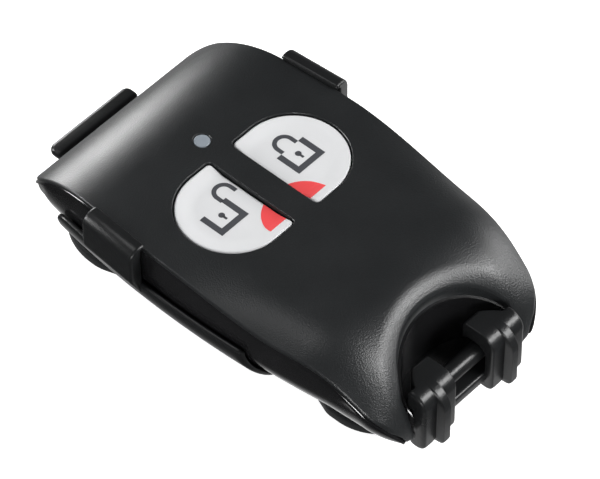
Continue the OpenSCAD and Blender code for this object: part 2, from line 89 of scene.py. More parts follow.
white = (1, 1, 1, 1)
horizon_end, overhead_start = 0.05, 0.45
overhead_grey = (0.12, 0.12, 0.125, 1)
mirrored_grey = (0.08, 0.08, 0.083, 1)
world = bpy.data.worlds.new("studio")
world.use_nodes = True
bpy.context.scene.world = world
sky, sky_link = world.node_tree.nodes, world.node_tree.links
sky_light = sky["Background"]
sky_place = sky.new("ShaderNodeTexCoord")
sky_parts = sky.new("ShaderNodeSeparateXYZ")
sky_ramp = sky.new("ShaderNodeValToRGB")
sky_ramp.color_ramp.elements[0].position = horizon_end
sky_ramp.color_ramp.elements[0].color = white
sky_ramp.color_ramp.elements[1].position = overhead_start
sky_ramp.color_ramp.elements[1].color = overhead_grey
sky_ray = sky.new("ShaderNodeLightPath")
sky_dim = sky.new("ShaderNodeMix")
sky_dim.data_type = "RGBA"
sky_dim.inputs["B"].default_value = mirrored_grey
sky_pick = sky.new("ShaderNodeMix")
sky_pick.data_type = "RGBA"
sky_pick.inputs["B"].default_value = white
sky_link.new(sky_place.outputs["Generated"], sky_parts.inputs["Vector"])
sky_link.new(sky_parts.outputs["Z"], sky_ramp.inputs["Fac"])
sky_link.new(sky_ramp.outputs["Color"], sky_dim.inputs["A"])
sky_link.new(sky_ray.outputs["Is Glossy Ray"], sky_dim.inputs["Factor"])
sky_link.new(sky_dim.outputs["Result"], sky_pick.inputs["A"])
sky_link.new(sky_ray.outputs["Is Camera Ray"], sky_pick.inputs["Factor"])
sky_link.new(sky_pick.outputs["Result"], sky_light.inputs["Color"])

floor_half = 900
floor_white = (0.8, 0.8, 0.8, 1)
floor_glow = 0.8
floor_mesh = bmesh.new()
bmesh.ops.create_grid(floor_mesh, x_segments=1, y_segments=1, size=floor_half * mm)
floor_data = bpy.data.meshes.new("floor")
floor_mesh.to_mesh(floor_data)
floor_mesh.free()
floor = bpy.data.objects.new("floor", floor_data)
bpy.context.collection.objects.link(floor)
paper = bpy.data.materials.new("white_sweep")
paper.use_nodes = True
paper_nodes, paper_links = paper.node_tree.nodes, paper.node_tree.links
paper_shader = paper_nodes["Principled BSDF"]
paper_shader.inputs["Base Color"].default_value = floor_white
paper_shader.inputs["Roughness"].default_value = 0.9
paper_shader.inputs["Specular IOR Level"].default_value = 0
paper_shader.inputs["Emission Color"].default_value = white
paper_ray = paper_nodes.new("ShaderNodeLightPath")
paper_glow = paper_nodes.new("ShaderNodeMath")
paper_glow.operation = "MULTIPLY"
paper_glow.inputs[1].default_value = floor_glow
paper_links.new(paper_ray.outputs["Is Camera Ray"], paper_glow.inputs[0])
paper_links.new(paper_glow.outputs["Value"], paper_shader.inputs["Emission Strength"])
paper_spot = paper_nodes.new("ShaderNodeTexCoord")
paper_parts = paper_nodes.new("ShaderNodeSeparateXYZ")
paper_links.new(paper_spot.outputs["Object"], paper_parts.inputs["Vector"])


def painted_reflection_step(axis, start, end, low, high, below=None):
    """Painted reflection of the floor, seen only in glossy rays: a soft step along one axis, times the
    shade so far.
    """
    step = paper_nodes.new("ShaderNodeMapRange")
    step.interpolation_type = "SMOOTHSTEP"
    step.inputs["From Min"].default_value = start * mm
    step.inputs["From Max"].default_value = end * mm
    step.inputs["To Min"].default_value = low
    step.inputs["To Max"].default_value = high
    times = paper_nodes.new("ShaderNodeMath")
    times.operation = "MULTIPLY"
    times.inputs[1].default_value = 1
    paper_links.new(paper_parts.outputs[axis], step.inputs["Value"])
    paper_links.new(step.outputs["Result"], times.inputs[0])
    if below:
        paper_links.new(below, times.inputs[1])
    return times.outputs["Value"]


# Painted reflection: the floor glows only in glossy rays. It is bright under the fob and darker to its
# left, its front and far behind, so the glossy plastics show painted highlights and dark sides.
shade = painted_reflection_step("X", start=-22, end=-11, low=0.04, high=0.95)
shade = painted_reflection_step("Y", start=-41, end=-33, low=0.1, high=1, below=shade)
shade = painted_reflection_step("Y", start=30, end=37, low=1, high=0.3, below=shade)
mirrored = paper_nodes.new("ShaderNodeEmission")
paper_mix = paper_nodes.new("ShaderNodeMixShader")
paper_links.new(shade, mirrored.inputs["Strength"])
paper_links.new(paper_ray.outputs["Is Glossy Ray"], paper_mix.inputs["Fac"])
paper_links.new(paper_shader.outputs["BSDF"], paper_mix.inputs[1])
paper_links.new(mirrored.outputs["Emission"], paper_mix.inputs[2])
paper_links.new(paper_mix.outputs["Shader"], paper_nodes["Material Output"].inputs["Surface"])
floor.data.materials.append(paper)

# Rear cover: the glossy black tub of the case, moulded in one piece with the two horns of the scallop.
# Its rim is round and stands a little proud under the seam, and its long edges are round for the hand.
# Four screws come in from behind, in plain recesses.
half_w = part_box("front_cover")[1].x / mm
half_l = 31.5
case_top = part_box("front_cover")[1].z / mm
case_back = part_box("rear_cover")[0].z / mm
side_bow = 3.4
side_r = (half_l ** 2 + side_bow ** 2) / (2 * side_bow)
side_c = half_w - side_r
top_corner_r = 8
low_corner_r = 5
top_arch_r = 16
low_arch_r = 13.5
end_edge_z = case_back + 1.3
low_edge_z = case_back + 0.6
shoulder_drop = 0.1
low_shoulder_drop = 2.15
drop_start_y, drop_run = 4, 20
drop_fade_h = 9
scallop_y = -half_l - 3.6
scallop_r = 11.2
horn_x = 9.6


def smooth(t):
    t = min(1, max(0, t))
    return t * t * (3 - 2 * t)


def arch_height(y):
    """Height of the front along the middle: flat, and rolled down at both ends."""
    radius = top_arch_r if y > 0 else low_arch_r
    over = max(0, abs(y) - half_l + radius)
    return case_top - radius + sqrt(radius ** 2 - over ** 2)


def arch_end(radius, edge_z):
    """How far from the middle the rolled front comes down to an edge's height."""
    return half_l - radius + sqrt(radius ** 2 - (edge_z - case_top + radius) ** 2)


top_end = arch_end(top_arch_r, end_edge_z)
low_end = -arch_end(low_arch_r, low_edge_z)


def edge_drop(y):
    """Fall of the front from the middle to the edge, which grows towards the key ring."""
    drop = shoulder_drop + (low_shoulder_drop - shoulder_drop) * smooth((drop_start_y - y) / drop_run)
    return drop * smooth((arch_height(y) - end_edge_z) / drop_fade_h)


def rim_height(y):
    return arch_height(y) - edge_drop(y)


def corner_x(radius):
    return side_c + sqrt((side_r - radius) ** 2 - (half_l - radius) ** 2)


def arc(x, y, radius, start, end, steps):
    angles = [start + (end - start) * i / steps for i in range(steps + 1)]
    return [Vector((x + radius * cos(a), y + radius * sin(a))) for a in angles]


def quarter(steps):
    """Angles of a quarter turn."""
    return [radians(90) * i / steps for i in range(steps + 1)]


def case_edge():
    """Plan of the case from the right horn round to the left one: [(spot, direction outwards)]."""
    low_x, top_x = corner_x(low_corner_r), corner_x(top_corner_r)
    low_y, top_y = low_corner_r - half_l, half_l - top_corner_r
    low_turn, top_turn = atan2(-low_y, low_x - side_c), atan2(top_y, top_x - side_c)
    tip_turn = atan2(low_end - low_y, sqrt(low_corner_r ** 2 - (low_end - low_y) ** 2))
    right = []
    for x, y, radius, start, end, steps in ((low_x, low_y, low_corner_r, tip_turn, -low_turn, 20),
                                            (side_c, 0, side_r, -low_turn, top_turn, 70),
                                            (top_x, top_y, top_corner_r, top_turn, pi / 2, 34)):
        middle = Vector((x, y))
        run = [(spot, (spot - middle).normalized()) for spot in arc(x, y, radius, start, end, steps)]
        right += run[1:] if right else run
    reach, across = right[-1][0].x, 24
    top = [(Vector((reach * (1 - 2 * i / across), half_l)), Vector((0, 1))) for i in range(1, across)]
    left = [(Vector((-spot.x, spot.y)), Vector((-out.x, out.y))) for spot, out in reversed(right)]
    return right + top + left


def stack(bm, rings):
    """Extrudes a face through rings of points, each with as many points as the first."""
    made = bmesh.ops.create_circle(bm, cap_ends=True, segments=len(rings[0]), radius=1)["verts"]
    face = made[0].link_faces[0]
    for i, ring in enumerate(rings):
        if i:
            made = bmesh.ops.extrude_face_region(bm, geom=[face])["geom"]
            if i > 1:
                bm.faces.remove(face)
            face = next(item for item in made if isinstance(item, bmesh.types.BMFace))
        for vert, point in zip(face.verts, ring):
            vert.co = point
    bmesh.ops.recalc_face_normals(bm, faces=bm.faces)


def linked(bm, name):
    """Turns a mesh made in millimetres into an object."""
    bmesh.ops.scale(bm, vec=(mm, mm, mm), verts=bm.verts)
    data = bpy.data.meshes.new(name)
    bm.to_mesh(data)
    bm.free()
    thing = bpy.data.objects.new(name, data)
    bpy.context.collection.objects.link(thing)
    return thing


def place(bm, name, material, body, node, cutters=(), sharp=35):
    """Makes a mesh a piece that rides on a body and stands for a CAD node, after cutting holes in it."""
    piece = linked(bm, name)
    tools = [linked(cutter, "cutter") for cutter in cutters]
    for tool in tools:
        hole = piece.modifiers.new("hole", "BOOLEAN")
        hole.object = tool
        hole.operation = "DIFFERENCE"
        hole.solver = "EXACT"
    if tools:
        whole = piece.data
        seen = piece.evaluated_get(bpy.context.evaluated_depsgraph_get())
        piece.data = bpy.data.meshes.new_from_object(seen)
        piece.modifiers.clear()
        bpy.data.meshes.remove(whole)
        piece.data.name = name
        for tool in tools:
            bpy.data.meshes.remove(tool.data)
    piece.data.shade_smooth()
    piece.data.set_sharp_from_angle(angle=radians(sharp))
    piece.data.materials.clear()
    piece.data.materials.append(material)
    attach(piece, body)
    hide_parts(node)


def moulded(name, colour, dull, grain, relief, level=0.5, swing=0.12, dull_swing=0.08):
    """Moulded plastic: a fine spark-eroded grain, with slow changes of tone and of gloss."""
    patch = 9
    material = bpy.data.materials.new(name)
    material.use_nodes = True
    nodes, links = material.node_tree.nodes, material.node_tree.links
    shader = nodes["Principled BSDF"]
    shader.inputs["Specular IOR Level"].default_value = level
    spot = nodes.new("ShaderNodeTexCoord")
    fine = nodes.new("ShaderNodeTexNoise")
    fine.inputs["Scale"].default_value = 1 / (grain * mm)
    fine.inputs["Detail"].default_value = 2
    slow = nodes.new("ShaderNodeTexNoise")
    slow.inputs["Scale"].default_value = 1 / (patch * mm)
    slow.inputs["Detail"].default_value = 3
    tone = nodes.new("ShaderNodeValToRGB")
    tone.color_ramp.elements[0].position = 0.3
    tone.color_ramp.elements[1].position = 0.7
    tone.color_ramp.elements[0].color = [c * (1 - swing) for c in colour] + [1]
    tone.color_ramp.elements[1].color = [min(1, c * (1 + swing)) for c in colour] + [1]
    gloss = nodes.new("ShaderNodeMapRange")
    gloss.inputs["To Min"].default_value = max(0.02, dull - dull_swing)
    gloss.inputs["To Max"].default_value = min(1, dull + dull_swing)
    bump = nodes.new("ShaderNodeBump")
    bump.inputs["Distance"].default_value = relief * mm
    links.new(spot.outputs["Object"], fine.inputs["Vector"])
    links.new(spot.outputs["Object"], slow.inputs["Vector"])
    links.new(slow.outputs["Fac"], tone.inputs["Fac"])
    links.new(tone.outputs["Color"], shader.inputs["Base Color"])
    links.new(slow.outputs["Fac"], gloss.inputs["Value"])
    links.new(gloss.outputs["Result"], shader.inputs["Roughness"])
    links.new(fine.outputs["Fac"], bump.inputs["Height"])
    links.new(bump.outputs["Normal"], shader.inputs["Normal"])
    return material


skirt_h = 0.08
seam_h = 0.2
bead_r = 0.75
bead_proud = 0.2
least_rim_h = 0.05
inner_rim_low = 0.5
wall_inset = 0.1
back_edge_r = 6.2
horn_edge_r = 4
horn_root_y, horn_root_run = -27, 6
least_edge_r = 0.15
tub_wall = 1.4
tub_low_y = -22
tub_top_y = 27.7
screw_x, screw_low_y, screw_top_y = 12, -16.8, 18.5
recess_r = 1.54
recess_depth = 3


def bowl_radius(y):
    """Height of the round edge at the back, less where the front rolls down to it."""
    room = rim_height(y) - skirt_h - seam_h - bead_r - case_back
    return max(least_edge_r, min(back_edge_r, room))


def bowl_inset(y):
    """Width of the round edge at the back, narrower on the horns."""
    full = smooth((y - horn_root_y) / horn_root_run)
    return min(bowl_radius(y), horn_edge_r + (back_edge_r - horn_edge_r) * full)


def tub_ring(inset, height, hollow=False):
    """A level round the tub: the case's plan moved in, closed by the scallop or, inside, by a wall."""
    ring = []
    for spot, out in case_edge():
        y = min(max(spot.y, low_end), top_end)
        moved = spot - inset(y) * out
        if hollow:
            moved.y = y = min(max(moved.y, tub_low_y), tub_top_y)
        else:
            moved.y = min(max(moved.y, low_end), top_end - inset(y))
        ring.append(Vector((moved.x, moved.y, height(y))))
    tip = ring[-1]
    steps = 60
    start = atan2(low_end - scallop_y, -sqrt(scallop_r ** 2 - (low_end - scallop_y) ** 2))
    for i in range(1, steps):
        if hollow:
            ring.append(Vector((tip.x * (1 - 2 * i / steps), tub_low_y, height(tub_low_y))))
        else:
            turn = start + (pi - 2 * start) * i / steps
            y = scallop_y + scallop_r * sin(turn)
            x = min(max(scallop_r * cos(turn), -horn_x), horn_x)
            ring.append(Vector((x, y, height(max(y, low_end)))))
    return ring


def rim_ring(inset, below, hollow=False):
    """A level that follows the seam, some way below it."""
    def height(y):
        return max(case_back + least_rim_h, rim_height(y) - skirt_h - seam_h - below)

    return tub_ring(lambda y: inset, height, hollow)


def bowl_ring(turn, shell=0.0):
    """A level of the round edge at the back; a shell above 0 gives the wall's inner face."""
    def inset(y):
        return wall_inset + shell + (bowl_inset(y) - shell) * (1 - cos(turn))

    def height(y):
        return case_back + shell + (bowl_radius(y) - shell) * (1 - sin(turn))

    return tub_ring(inset, height, shell > 0)


bowl_turns = quarter(10)
tub_rings = [bowl_ring(turn, tub_wall) for turn in reversed(bowl_turns)]
tub_rings += [rim_ring(wall_inset + tub_wall, inner_rim_low, True)]
tub_rings += [rim_ring(bead_r * (1 - sin(turn)) - bead_proud, bead_r * (1 - cos(turn)))
              for turn in quarter(8)]
tub_rings += [bowl_ring(turn) for turn in bowl_turns]
tub = bmesh.new()
stack(tub, tub_rings)
recesses = []
for x in (-screw_x, screw_x):
    for y in (screw_low_y, screw_top_y):
        recess = bmesh.new()
        bmesh.ops.create_cone(recess, cap_ends=True, segments=48, radius1=recess_r, radius2=recess_r,
                              depth=2 * recess_depth, matrix=Matrix.Translation((x, y, case_back)))
        recesses.append(recess)
gloss_black = moulded("gloss_black", (0.008, 0.008, 0.0085), dull=0.13, grain=0.9, relief=0.004,
                      dull_swing=0.03)
place(tub, "rear_shell", gloss_black, "fob", "rear_cover", recesses, sharp=50)

# Front cover: a moulded matte black shell with a fine spark-eroded grain, which rolls down at both ends.
# It has a soft round lip at the scallop and cut openings for two buttons and the indicator.
# It closes the tub along the seam and takes the four screws.
cover_t = 0.9
scallop_flare_r = 11.6
horn_lap = 0.5
lip_w = 2.4
lip_turn = radians(42)
lip_edge = 0.22
lip_wall = 2.4
lip_clear = 0.6
least_wall = 0.3
edge_r = 0.2
edge_slant = 0.35
shoulder_w = 6
horn_end_w = 0.6
tip_short = 0.45
lip_share, wall_share, edge_share = 0.45, 0.3, 0.2
crest_wall_share, crest_lip_share = 0.4, 0.1
crest_turns = (0, 0.4, 0.8)
lip_turns = [lip_turn * (0.95 - 0.095 * i) for i in range(11)]
cover_steps, cover_crowd = 64, 1.7
lining_steps = 30
lining_lap = 0.4


def half_width(y):
    return side_c + sqrt(side_r ** 2 - y ** 2)


def cover_height(x, y):
    """Height of the front: the arch along the middle, less the round fall at the long edges."""
    share = 1 - min(1, max(0, half_width(y) - abs(x)) / shoulder_w)
    return arch_height(y) - edge_drop(y) * share ** 2


def cover_section(spot, out):
    """Closed section of the cover from the scallop to one spot on its edge, as points."""
    axis = Vector((0, scallop_y))
    ray = spot - axis
    far, ray = ray.length, ray.normalized()
    near = min(scallop_flare_r, (horn_x + horn_lap) / max(0.01, abs(ray.x)))
    near = min(max(near, (low_end - scallop_y) / ray.y), far - horn_end_w)
    span = far - near
    lip = min(lip_w, lip_share * span)
    lip_r = lip / sin(lip_turn)
    lip_fall = lip_r * (1 - cos(lip_turn))
    thick = min(cover_t, wall_share * span)
    round_r = min(edge_r / max(edge_slant, ray.dot(out)), edge_share * span)

    def at(distance, fall):
        point = axis + distance * ray
        point.y = max(point.y, low_end)
        return Vector((point.x, point.y, cover_height(point.x, point.y) - fall))

    wall = min(lip_wall, max(least_wall, at(near, 0).z - lip_fall - case_back - lip_clear))
    crest = min(lip_edge, crest_wall_share * wall, crest_lip_share * lip)
    outer = [at(near, lip_fall + wall), at(near, lip_fall + (wall + crest) / 2)]
    outer += [at(near + crest * (1 - cos(a)), lip_fall + crest * (1 - sin(a))) for a in crest_turns]
    outer += [at(near + lip - lip_r * sin(a), lip_r * (1 - cos(a))) for a in lip_turns]
    start, end = near + lip, far - round_r
    outer += [at(start + (end - start) * (1 - (1 - i / cover_steps) ** cover_crowd), 0)
              for i in range(1, cover_steps)]
    outer += [at(end + round_r * sin(a), round_r * (1 - cos(a))) for a in quarter(6)]
    low = min(skirt_h, at(far, 0).z - case_back)
    outer += [at(far, round_r + low * i / 2) for i in range(1, 3)]
    inner = [at(far - thick, round_r + low), at(far - thick, thick + lining_lap * low)]
    inner += [at(far - thick - (far - near - 2 * thick) * i / lining_steps, thick)
              for i in range(1, lining_steps)]
    inner += [at(near + thick, thick + lip_fall), at(near + thick, lip_fall + wall)]
    return outer + inner


cover = bmesh.new()
stack(cover, [cover_section(Vector((spot.x, min(spot.y, top_end))), out) for spot, out in case_edge()
              if spot.y > low_end + tip_short])


def outline(corners, inset=0.0, steps=10, runs=0):
    """Outline of corners (x, y, radius) with arcs, all moved inwards; runs adds points on the straights."""
    least_r, long_run = 0.01, 1
    bends = []
    for i, (x, y, radius) in enumerate(corners):
        here = Vector((x, y))
        back = (Vector(corners[i - 1][:2]) - here).normalized()
        ahead = (Vector(corners[(i + 1) % len(corners)][:2]) - here).normalized()
        half = back.angle(ahead) / 2
        middle = here + (back + ahead).normalized() * radius / sin(half)
        start = here + back * radius / tan(half) - middle
        convex = back.x * ahead.y - back.y * ahead.x < 0
        turn = (pi - 2 * half) * (1 if convex else -1)
        size = max(least_r, radius - inset if convex else radius + inset)
        first = atan2(start.y, start.x)
        bends.append(arc(middle.x, middle.y, size, first, first + turn, steps))
    points = []
    for bend, after in zip(bends, bends[1:] + bends[:1]):
        points += bend
        if (after[0] - bend[-1]).length > long_run:
            points += [bend[-1].lerp(after[0], j / (runs + 1)) for j in range(1, runs + 1)]
    return points


button_half_w = 7.4
button_out = 13.0
button_end_r = button_half_w - 0.02
button_y = 2.8
strip_half = 1.95
strip_corner_r = 0.8
button_steps = 24
opening_edge = 0.1
opening_step = 0.3
cutter_past = 0.3
cutter_depth = 3
lens_y = 13.15
lens_r = 1.1
lens_gap = 0.06
lens_steps = 47


def button_corners(side):
    """Plan of a button's opening: straight along the strip, and round outside."""
    low, high = button_y - button_half_w, button_half_w + button_y
    corners = [(strip_half, low, strip_corner_r), (button_out, low, button_end_r),
               (button_out, high, button_end_r), (strip_half, high, strip_corner_r)]
    return corners if side > 0 else [(-x, y, r) for x, y, r in reversed(corners)]


def opening(ring_at):
    """A cutter that leaves a bevelled rim: straight below, and flared at the front face."""
    cutter = bmesh.new()
    levels = ((-opening_edge - cutter_past, case_top + cutter_past), (-opening_edge, case_top),
              (-opening_edge * opening_step, case_top - opening_edge), (0, case_top - opening_edge),
              (0, case_top - cutter_depth))
    stack(cutter, [[Vector((p.x, p.y, z)) for p in ring_at(inset)] for inset, z in levels])
    return cutter


def lens_ring(inset):
    return arc(0, lens_y, lens_r + lens_gap - inset, 0, 2 * pi * lens_steps / (lens_steps + 1), lens_steps)


openings = [opening(lambda inset: outline(button_corners(1), inset, button_steps)),
            opening(lambda inset: outline(button_corners(-1), inset, button_steps)),
            opening(lens_ring)]
matte_black = moulded("matte_black", (0.0125, 0.0138, 0.0146), dull=0.36, grain=0.2, relief=0.045,
                      level=0.62, swing=0.06)
place(cover, "front_shell", matte_black, "fob", "front_cover", openings)

# Indicator: the clear grey end of a moulded light pipe, domed a little and sunk in its hole.
# The pipe is pressed into the front cover from inside, over the indicator's lamp on the board.
lens_lift = 0.2
lens_play = 0.03
lens_dome = 0.16
lens_depth = 1.6
dome_turns = (0.4, 0.8, 1.2, 1.4, pi / 2)


def turned(profile, steps=48):
    """A mesh spun about the Z axis from a profile of (radius, height)."""
    bm = bmesh.new()
    verts = [bm.verts.new((r, 0, z)) for r, z in profile]
    edges = [bm.edges.new(pair) for pair in zip(verts, verts[1:])]
    bmesh.ops.spin(bm, geom=verts + edges, axis=(0, 0, 1), cent=(0, 0, 0), dvec=(0, 0, 0), angle=2 * pi,
                   steps=steps, use_merge=True)
    bmesh.ops.remove_doubles(bm, verts=bm.verts, dist=1e-5)
    bmesh.ops.recalc_face_normals(bm, faces=bm.faces)
    return bm


lens_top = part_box("led_lens")[1].z / mm + lens_lift
lens_rod_r = lens_r - lens_play
lens_profile = [(0, lens_top)]
lens_profile += [(lens_rod_r * sin(a), lens_top - lens_dome * (1 - cos(a))) for a in dome_turns]
lens_profile += [(lens_rod_r, lens_top - lens_depth), (0, lens_top - lens_depth)]
lens = turned(lens_profile)
bmesh.ops.translate(lens, vec=(0, lens_y, 0), verts=lens.verts)
lens_grey = moulded("lens_grey", (0.27, 0.305, 0.34), dull=0.25, grain=0.5, relief=0.01, swing=0.05)
place(lens, "indicator_lens", lens_grey, "fob", "led_lens")

# Buttons: two moulded pale caps that share one thumb dish, deepest along the strip between them.
# Each stands on the plunger of its switch and slides in its opening.
# The padlock signs and the red half-disc are printed on them.
button_gap = 0.17
button_rim_r = 0.28
button_rim_turns = quarter(6)
button_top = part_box("lock_button")[1].z / mm
button_under = 2.1
dish_depth = 0.48
dish_flat = 0.62
dish_reach = button_half_w - button_gap
dish_rings = 30


def button_height(x, y):
    """Height of a button's face: flat in the dish's middle, and rising to its rim."""
    along = max(0, abs(x) - (button_out - button_half_w))
    share = hypot(along, y - button_y) / dish_reach
    return button_top - dish_depth * (1 - smooth((share - dish_flat) / (1 - dish_flat)))


pearl = moulded("button_white", (0.74, 0.746, 0.752), dull=0.36, grain=0.6, relief=0.006, level=0.4,
                swing=0.015)
for side, name in ((1, "lock_button"), (-1, "unlock_button")):
    plan = button_corners(side)
    edge = [outline(plan, button_gap + button_rim_r * (1 - cos(a)), button_steps, runs=button_steps)
            for a in button_rim_turns]
    middle = Vector((side * (strip_half + button_out) / 2, button_y))
    rings = [[Vector((p.x, p.y, button_top - button_under)) for p in edge[0]]]
    for a, ring in zip(button_rim_turns, edge):
        fall = button_rim_r * (1 - sin(a))
        rings.append([Vector((p.x, p.y, button_height(p.x, p.y) - fall)) for p in ring])
    for i in range(1, dish_rings):
        ring = [middle + (p - middle) * (1 - i / dish_rings) for p in edge[-1]]
        rings.append([Vector((p.x, p.y, button_height(p.x, p.y))) for p in ring])
    cap = bmesh.new()
    stack(cap, rings)
    place(cap, name + "_cap", pearl, name, name, sharp=60)

ink_rise = 0.02
ink_t = 0.06
ink_grey = (0.066, 0.069, 0.077)
ink_red = (0.86, 0.08, 0.085)
bar_w = 0.86
shackle_r = 1.25
shackle_w = 0.6
shackle_leg = 0.9
body_half = 2.43
body_h = 3.8
keyhole_r = 0.42
keyhole_up = 2.35
key_slot_half = 0.17
key_slot_low, key_slot_top = 0.9, 0.3


def printed(marks, name, colour, body):
    """Printed marks: patches of ink laid on a button, each a grid bent to a shape of (u, v)."""
    half = 0.5
    bm = bmesh.new()
    for columns, rows, shape in marks:
        for vert in bmesh.ops.create_grid(bm, x_segments=columns, y_segments=rows, size=half)["verts"]:
            x, y = shape(vert.co.x + half, vert.co.y + half)
            vert.co = (x, y, button_height(x, y) + ink_rise)
    bmesh.ops.remove_doubles(bm, verts=bm.verts, dist=1e-4)
    bmesh.ops.recalc_face_normals(bm, faces=bm.faces)
    made = bmesh.ops.extrude_face_region(bm, geom=bm.faces[:])["geom"]
    under = [item for item in made if isinstance(item, bmesh.types.BMVert)]
    bmesh.ops.translate(bm, vec=(0, 0, -ink_t), verts=under)
    bmesh.ops.recalc_face_normals(bm, faces=bm.faces)
    ink = moulded(name + "_ink", colour, dull=0.5, grain=0.4, relief=0.004, level=0.3, swing=0.05)
    place(bm, name, ink, body, body)


def band(x0, x1, y0, y1):
    """A rectangle of ink."""
    return 12, 12, lambda u, v: (x0 + (x1 - x0) * u, y0 + (y1 - y0) * v)


def dot(x, y, radius):
    """A disc of ink."""
    return 24, 4, lambda u, v: (x + radius * v * cos(2 * pi * u), y + radius * v * sin(2 * pi * u))


def shackle(x, y):
    """The bow of a padlock: two legs that stand on y, and a half ring."""
    length = 2 * shackle_leg + pi * shackle_r

    def shape(u, v):
        along = length * u - shackle_leg
        turn = pi - min(max(along / shackle_r, 0), pi)
        drop = max(0, -along) + max(0, along - pi * shackle_r)
        reach = shackle_r + shackle_w * (v - 0.5)
        return x + reach * cos(turn), y + shackle_leg + reach * sin(turn) - drop

    return 48, 4, shape


def padlock(x, y, shackle_x, right_more):
    """A padlock's open-topped body with its foot at (x, y), its bow and its keyhole."""
    left, right, top = x - body_half, x + body_half, y + body_h
    hole_y = y + keyhole_up
    return [band(left, left + bar_w, y, top), band(right - bar_w, right, y, top + right_more),
            band(left + bar_w, right - bar_w, y, y + bar_w), shackle(shackle_x, top),
            dot(x, hole_y, keyhole_r),
            band(x - key_slot_half, x + key_slot_half, hole_y - key_slot_low, hole_y - key_slot_top)]


lock_sign = padlock(x=6.87, y=0.74, shackle_x=6.87, right_more=0)
unlock_sign = padlock(x=-7.04, y=0.92, shackle_x=-4.1, right_more=0.1)
printed(lock_sign, "lock_sign", ink_grey, "lock_button")
printed(unlock_sign, "unlock_sign", ink_grey, "unlock_button")

red_half_w = 5.1
red_h = 4.2
red_y = -3.15
red_start = strip_half + button_gap + 0.12
red_end = red_half_w - 0.02


def red_half(side):
    """Half of a half-disc of red, cut off at the strip between the buttons."""
    def shape(u, v):
        x = red_start + (red_end - red_start) * u
        return side * x, red_y + red_h * sqrt(1 - (x / red_half_w) ** 2) * v

    return 24, 14, shape


for side, name in ((1, "lock_button"), (-1, "unlock_button")):
    printed([red_half(side)], name + "_red", ink_red, name)

# Lanyard bar: a round moulded bar whose ends are held in the horns of the rear cover.
# It is thicker between them, where the hooks and a key ring bear on it.
bar_lo, bar_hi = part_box("lanyard_bar")
bar_middle = (bar_lo + bar_hi) / 2 / mm
bar_r = (bar_hi.z - bar_lo.z) / 2 / mm
bar_half = bar_hi.x / mm
bar_end_r = 0.9
grip_half = 8.2
grip_edge = 0.2
bar_profile = [(0, -bar_half), (bar_end_r, -bar_half), (bar_end_r, -grip_half),
               (bar_r - grip_edge, -grip_half)]
bar_profile += [(bar_r - grip_edge * (1 - sin(a)), grip_edge * (1 - cos(a)) - grip_half)
                for a in (0.5, 1.0, pi / 2)]
bar_profile += [(r, -z) for r, z in reversed(bar_profile)]
bar = turned(bar_profile)
bmesh.ops.rotate(bar, cent=(0, 0, 0), matrix=Matrix.Rotation(radians(90), 3, "Y"), verts=bar.verts)
bmesh.ops.translate(bar, vec=bar_middle, verts=bar.verts)
satin_black = moulded("satin_black", (0.010, 0.0105, 0.011), dull=0.3, grain=0.3, relief=0.02, level=0.4,
                      swing=0.08)
place(bar, "lanyard_rod", satin_black, "fob", "lanyard_bar")

# Cradle: one satin black moulding that the fob snaps into. A bowl hugs the back of the case,
# and a thicker floor carries the stop at the indicator end, the tail with the hooks and the hinge ears.
cradle_floor = 6.4
cradle_seat = 8.1
floor_edge = 0.45
bowl_gap = 0.15
bowl_t = 0.75
bowl_top = 14.6
bowl_end_fall = 2.0
bowl_end_run = 2.2
bowl_end_round = 0.5
bowl_low_y = -12.5
bowl_top_y = 22.5
bowl_len = bowl_top_y - bowl_low_y
bowl_corner_r = 6
bowl_corner_x = half_w + bowl_gap + bowl_t + 1
bowl_steps = 60
bowl_turn_steps = 16
bowl_least_t = 0.04
floor_hw = 12.5
floor_top_y = 26
tail_hw = 9.5
tail_end_y = -31.325
tab_hw = 7.3
tab_low_y = 31.2
tab_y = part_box("clip_cradle")[1].y / mm
tab_z = 8.5
tab_top = 9.95
tab_edge = 0.6
stem_hw = 6.0
stem_root_y = floor_top_y + 2.5
stem_y = 32.3
stem_top = tab_top - 0.3
stem_edge = 0.2


def slab(bm, corners, low, high, edge, axes=(0, 1, 2)):
    """A plate with rounded corners and edges; axes says which axes its plan and height lie on."""
    levels = [(edge * (1 - sin(a)), low + edge * (1 - cos(a))) for a in quarter(5)]
    levels += [(inset, low + high - z) for inset, z in reversed(levels)]
    rings = []
    for inset, z in levels:
        ring = []
        for p in outline(corners, inset):
            spot = Vector((0, 0, 0))
            spot[axes[0]], spot[axes[1]], spot[axes[2]] = p.x, p.y, z
            ring.append(spot)
        rings.append(ring)
    stack(bm, rings)


def both_sides(corners):
    return corners + [(-x, y, r) for x, y, r in reversed(corners)]


def bowl_low(x):
    """The bowl's low end, rounded off towards the long edges."""
    over = max(0, abs(x) - bowl_corner_x + bowl_corner_r)
    return bowl_low_y + bowl_corner_r - sqrt(max(0, bowl_corner_r ** 2 - over ** 2))


